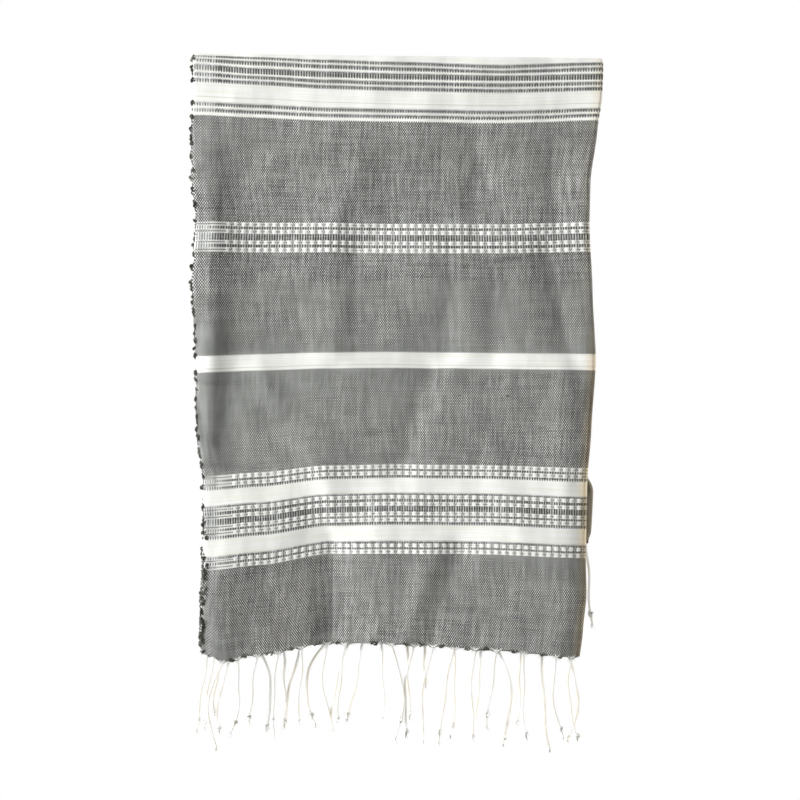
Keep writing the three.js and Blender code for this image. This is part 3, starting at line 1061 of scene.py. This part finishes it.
def finishYarns(name, curve):
    holder = bpy.data.objects.new(name + "Curve", curve)
    bpy.context.scene.collection.objects.link(holder)
    bpy.context.view_layer.update()
    mesh = bpy.data.meshes.new_from_object(holder.evaluated_get(bpy.context.evaluated_depsgraph_get()))
    bpy.data.objects.remove(holder)
    bm = bmesh.new()
    bm.from_mesh(mesh)
    bmesh.ops.recalc_face_normals(bm, faces=bm.faces)
    bpy.data.meshes.remove(mesh)
    return addObject(name, bm, curve.materials[0])


cords = {
    "ply": 0.43,  # half the thickness of one ply
    "apart": 0.56,  # from the cord's middle to a ply's
    "turn": 3.2,  # length of one full twist
    "step": 0.34,  # from one point of a ply to the next
    "sway": 0.9,  # sideways
    "swayBack": 0.6,
    "knot": 0.504,  # its thread winds over about five and a half times this
    "knotSizes": (0.85, 1.15),
    "knotPoints": 28,
    "knotThread": 1.7,  # times a ply
    "strands": 9,  # below a knot
    "looseStrands": 5,  # below a cord that has none
    "strandLengths": (2.2, 4.6),
    "strandThread": 0.65,  # times a ply
    "strandLean": (0.36, 0.3),  # sideways and back
}


# A cord's middle, in a bow from its start through its place halfway down to its tip.
def cordRoute(start, half, tip, length, rng):
    count = max(int(length / cords["step"]), 8)
    phase = rng.uniform(0, 6.28)
    route = []
    for i in range(count + 1):
        down = i / count
        x = start.x * (1 - down) * (1 - 2 * down)
        x += half * 4 * down * (1 - down) + tip * down * (2 * down - 1)
        sway = cords["sway"] * math.sin(down * 7 + phase) * smooth(down * 2)
        deep = cords["swayBack"] * math.sin(down * 5 + phase * 2) * down
        route.append(Vector((x + sway, start.y + deep, start.z - length * down)))
    return route


# An overhand knot, as a trefoil of thick thread.
def addKnot(curve, place, rng):
    size = cords["knot"] * rng.uniform(*cords["knotSizes"])
    turn = Matrix.Rotation(rng.uniform(0, 3.14), 3, "Z") @ Matrix.Rotation(rng.uniform(-0.4, 0.4), 3, "X")
    places = []
    for i in range(cords["knotPoints"]):
        angle = 2 * math.pi * i / cords["knotPoints"]
        across = math.sin(angle) + 2 * math.sin(2 * angle)
        down = math.cos(angle) - 2 * math.cos(2 * angle)
        places.append(place + turn @ Vector((across, -math.sin(3 * angle), down)) * size)
    addYarn(curve, places, [cords["knotThread"]] * cords["knotPoints"], cyclic=True)


# The loose strands at a cord's end.
def addStrands(curve, place, count, rng):
    aside, back = cords["strandLean"]
    for _ in range(count):
        lean = Vector((rng.uniform(-aside, aside), rng.uniform(-back, back), -1))
        length = rng.uniform(*cords["strandLengths"])
        bend = rng.uniform(-1, 1)
        places = []
        for i in range(6):
            share = i / 5
            places.append(place + lean * length * share + Vector((bend * share * share, 0, 0)))
        addYarn(curve, places, [cords["strandThread"] * (1 - i / 8) for i in range(6)])


# One fringe: a two-ply cord to each bundle of warp, knotted near its end.
def makeFringe(name, hem, rows, material):
    curve = startYarns(name, cords["ply"], material)
    rng = random.Random(21 if hem > 0 else 22)
    for layer, at, half, tip, length, knot in rows:
        start = hemPlace(stationAt(layer, at, hem), hem)
        route = cordRoute(start, half, tip, length, rng)
        turn = rng.uniform(0, 6.28)
        for ply in (0, math.pi):
            places = []
            for i, place in enumerate(route):
                angle = turn + ply + 2 * math.pi * i * cords["step"] / cords["turn"]
                places.append(place + Vector((math.cos(angle), math.sin(angle), 0)) * cords["apart"])
            addYarn(curve, places)
        if knot:
            addKnot(curve, route[int((len(route) - 1) * knot)], rng)
        addStrands(curve, route[-1], cords["strands"] if knot else cords["looseStrands"], rng)
    return finishYarns(name, curve)


hemYarns = {
    "fan": 0.24,  # half the thickness of a warp end
    "fanned": (-3.4, -1.9, -0.7, 0.8, 2.0, 3.3),  # where a bundle's ends come from, to its side
    "fanUneven": (0.6, 1.15),
    "fanHeights": (0.3, 1.9),  # how far above the hem they begin
    "fray": 0.18,  # half the thickness of a cut one
    "frayLengths": (0.9, 2.6),
    "frayApart": (0.6, 2.6),
    "arc": 0.4,  # half the thickness of the last dark picks
    "arcThreads": (0.3, 1.2),  # and how it varies
    "sag": 0.7,
    "tuftShare": 0.95,  # how many of the spaces between bundles hold a tuft
    "tuftWidest": 2.6,
}


# The warp ends drawn together over the hem into each cord.
def makeHemFans(name, hem, rows, material):
    curve = startYarns(name, hemYarns["fan"], material)
    rng = random.Random(31)
    for layer, at, *_ in rows:
        station = stationAt(layer, at, hem)
        foot = hemPlace(station, hem)
        for offset in hemYarns["fanned"]:
            spread = offset * rng.uniform(*hemYarns["fanUneven"])
            other = station + (spread if layer == "outer" else -spread) / towel["halfWidth"]
            if not 0.01 < other < 1.99:
                continue
            along = hem - math.copysign(rng.uniform(*hemYarns["fanHeights"]), hem)
            outwards = clothDirections(other, along)[2]
            top = clothPlace(other, along) + outwards * 0.55
            middle = top.lerp(foot, 0.6) + outwards * 0.4
            addYarn(curve, [top, middle, foot, foot + Vector((0, 0, -1.2))], [0.7, 1.1, 1.2, 0.9])
    return finishYarns(name, curve)


# The short cut ends that stand out of the hem.
def makeHemFrays(name, hem, material):
    curve = startYarns(name, hemYarns["fray"], material)
    rng = random.Random(37)
    for side in (0, 1):
        share = 0.01
        while share < 0.99:
            across = share + side
            outwards = clothDirections(across, hem * 0.998)[2]
            foot = hemPlace(across, hem) + outwards * rng.uniform(-0.5, 0.6)
            length = rng.uniform(*hemYarns["frayLengths"])
            lean = Vector((rng.uniform(-0.9, 0.9), 0, -1)).normalized()
            curl = Vector((rng.uniform(-0.8, 0.8), rng.uniform(-0.5, 0.5), 0.3))
            top = foot + Vector((0, 0, 0.8))
            tip = foot + lean * length
            addYarn(curve, [top, foot, foot.lerp(tip, 0.6), tip + curl], [1, 1, 0.9, 0.6])
            share += rng.uniform(*hemYarns["frayApart"]) / towel["halfWidth"]
    return finishYarns(name, curve)


# The last dark picks between the bundles: sagging threads and tangled tufts.
def makeHemTangle(name, hem, rows, material):
    curve = startYarns(name + "Arcs", hemYarns["arc"], material)
    rng = random.Random(33)
    down = math.copysign(1, hem)
    template = loopTemplate()
    bm = bmesh.new()
    for layer in ("outer", "inner"):
        stations = sorted(stationAt(layer, row[1], hem) for row in rows if row[0] == layer)
        for left, right in zip(stations, stations[1:]):
            sag = rng.uniform(0, hemYarns["sag"])
            places = []
            for share in spaced(0, (1, 8)):
                further = down * (sag * math.sin(math.pi * share) - 0.3)
                places.append(hemPlace(left + (right - left) * share, hem, further) + Vector((0, 0, -0.1)))
            addYarn(curve, places, [rng.uniform(*hemYarns["arcThreads"]) for _ in places])
            if rng.random() < hemYarns["tuftShare"]:
                across = left + (right - left) * rng.uniform(0.3, 0.7)
                directions = clothDirections(across, hem * 0.999)
                place = hemPlace(across, hem, -down * 0.1)
                span = (right - left) * towel["halfWidth"]
                wide = min(span * 0.3, hemYarns["tuftWidest"]) * rng.uniform(0.5, 1)
                addTuft(bm, template, place, directions, int(5 + 2.5 * wide), wide, 0.5, rng)
    arcs = finishYarns(name + "Arcs", curve)
    bm.from_mesh(arcs.data)
    bmesh.ops.recalc_face_normals(bm, faces=bm.faces)
    bpy.data.objects.remove(arcs)
    bpy.data.meshes.remove(template)
    return addObject(name, bm, material)


slubs = {
    "light": [(0.61, 116, 3.4, 1.7)],  # share of the width, along, length and thickness
    "dark": [(0.78, 222, 2.4, 1.1), (0.66, 222, 2.2, 1.0), (0.1, 352, 3.6, 1.4)],
    "lumps": 0.12,
    "lumpScale": 1500,
}


# Thick places in single threads.
def makeSlubs(name, rows, material):
    bm = bmesh.new()
    for share, along, length, thick in rows:
        sideways, down, outwards = clothDirections(share, along)
        place = clothPlace(share, along) + outwards * towel["thickness"] * 0.5
        matrix = placing(sideways * length * mm, down * thick * mm, outwards * thick * 0.8 * mm, place)
        bmesh.ops.create_icosphere(bm, subdivisions=2, radius=0.5, matrix=matrix)
    noise.seed_set(3)  # the same lumps in every run
    for vert in bm.verts:
        vert.co += noise.noise_vector(vert.co * slubs["lumpScale"]) * slubs["lumps"] * mm
    return addObject(name, bm, material)


studio = {
    "lens": 85,
    "sensor": 36,
    "camera": (0.0037, -1.185, -0.2037),
    "roll": -0.65,
    "seenWhite": 1.0,  # the background as the camera sees it
    "ambient": 0.22,  # and as it lights the towel
    # place, size, power and tint of each light
    "key": ((-1.9, -0.8, 0.65), 0.5, 79, (0.985, 1, 1)),
    "fill": ((0.5, -2.2, 1.1), 1.6, 8, (1, 0.98, 0.93)),
    "back": ((1.9, 0.7, 0.5), 1.2, 44, (1, 0.99, 0.96)),
    "aim": (0, 0, -0.2),
    "floorSize": 1.2,  # from its middle to an edge
    "floorDepth": -0.75,
}


def makeCamera(scene):
    lens = bpy.data.cameras.new("camera")
    lens.lens = studio["lens"]
    lens.sensor_width = studio["sensor"]
    camera = bpy.data.objects.new("camera", lens)
    scene.collection.objects.link(camera)
    turned = Matrix.Rotation(math.radians(studio["roll"]), 4, "Y") @ Matrix.Rotation(math.pi / 2, 4, "X")
    camera.matrix_world = Matrix.Translation(studio["camera"]) @ turned
    scene.camera = camera


def makeLights(scene):
    for name in ("key", "fill", "back"):
        place, size, power, tint = studio[name]
        lamp = bpy.data.lights.new(name, "AREA")
        lamp.size = size
        lamp.energy = power
        lamp.color = tint
        holder = bpy.data.objects.new(name, lamp)
        scene.collection.objects.link(holder)
        holder.location = place
        aim = Vector(studio["aim"]) - Vector(place)
        holder.rotation_euler = aim.to_track_quat("-Z", "Y").to_euler()
    scene.world = bpy.data.worlds.new("studio")
    scene.world.use_nodes = True
    tree = scene.world.node_tree
    sky = tree.nodes["Background"]
    sky.inputs["Color"].default_value = (1, 1, 1, 1)
    seen = tree.nodes.new("ShaderNodeLightPath").outputs["Is Camera Ray"]
    strength = calc(tree, "MULTIPLY_ADD", seen, studio["seenWhite"] - studio["ambient"], studio["ambient"])
    tree.links.new(strength, sky.inputs["Strength"])


def makeFloor():
    bm = bmesh.new()
    bmesh.ops.create_grid(bm, x_segments=4, y_segments=4, size=studio["floorSize"])
    bmesh.ops.translate(bm, verts=bm.verts, vec=Vector((0, 0, studio["floorDepth"])))
    material, _, shader = startMaterial("paleFloor")
    shader.inputs["Base Color"].default_value = (*colours["floor"], 1)
    return addObject("floor", bm, material)


scene = bpy.context.scene
scene.view_settings.view_transform = "Standard"
makeCamera(scene)
makeLights(scene)
floor = makeFloor()
print("studio set")
clothMaterial = makeClothMaterial(makeBandOrder(), makePlainWeave())
spunYarn = makeSpunYarn()
whiteYarn = makeYarnMaterial("whiteWeft", spunYarn, "whiteYarn", "dullWhiteYarn", 2600)
darkYarn = makeYarnMaterial("charcoalWeft", spunYarn, "charcoalYarn", "blackYarn", 2600)
cordYarn = makeYarnMaterial("fringeCotton", spunYarn, "cord", "tannedCord", 3200, glow=1)
print("materials made")

towelCloth = makeCloth(clothMaterial)
print("cloth hung")
dashFloats = [makeFloats("floatsFront", True, whiteYarn), makeFloats("floatsBack", False, whiteYarn)]
selvageLoops = makeSelvageLoops(darkYarn, whiteYarn)
print("floats and selvages made")
sides = (("Front", towel["front"], frontCords), ("Back", -towel["back"], backCords))
fringeFront, fringeBack = [makeFringe("fringe" + side, hem, rows, cordYarn) for side, hem, rows in sides]
fans = [makeHemFans("hemFans" + side, hem, rows, whiteYarn) for side, hem, rows in sides]
frays = [makeHemFrays("hemFrays" + side, hem, whiteYarn) for side, hem, _ in sides]
tangles = [makeHemTangle("hemTangle" + side, hem, rows, darkYarn) for side, hem, rows in sides]
lightSlubs = makeSlubs("lightSlubs", slubs["light"], whiteYarn)
darkSlubs = makeSlubs("darkSlubs", slubs["dark"], darkYarn)
print("fringes and hems made")

trim = [*dashFloats, selvageLoops, *fans, *frays, *tangles, lightSlubs, darkSlubs]
for piece in [towelCloth, *trim]:
    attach(piece, "root")
for piece, node in ((fringeFront, "fringe_front"), (fringeBack, "fringe_back")):
    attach(piece, "root")
    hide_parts(node)
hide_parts("towel_cloth")
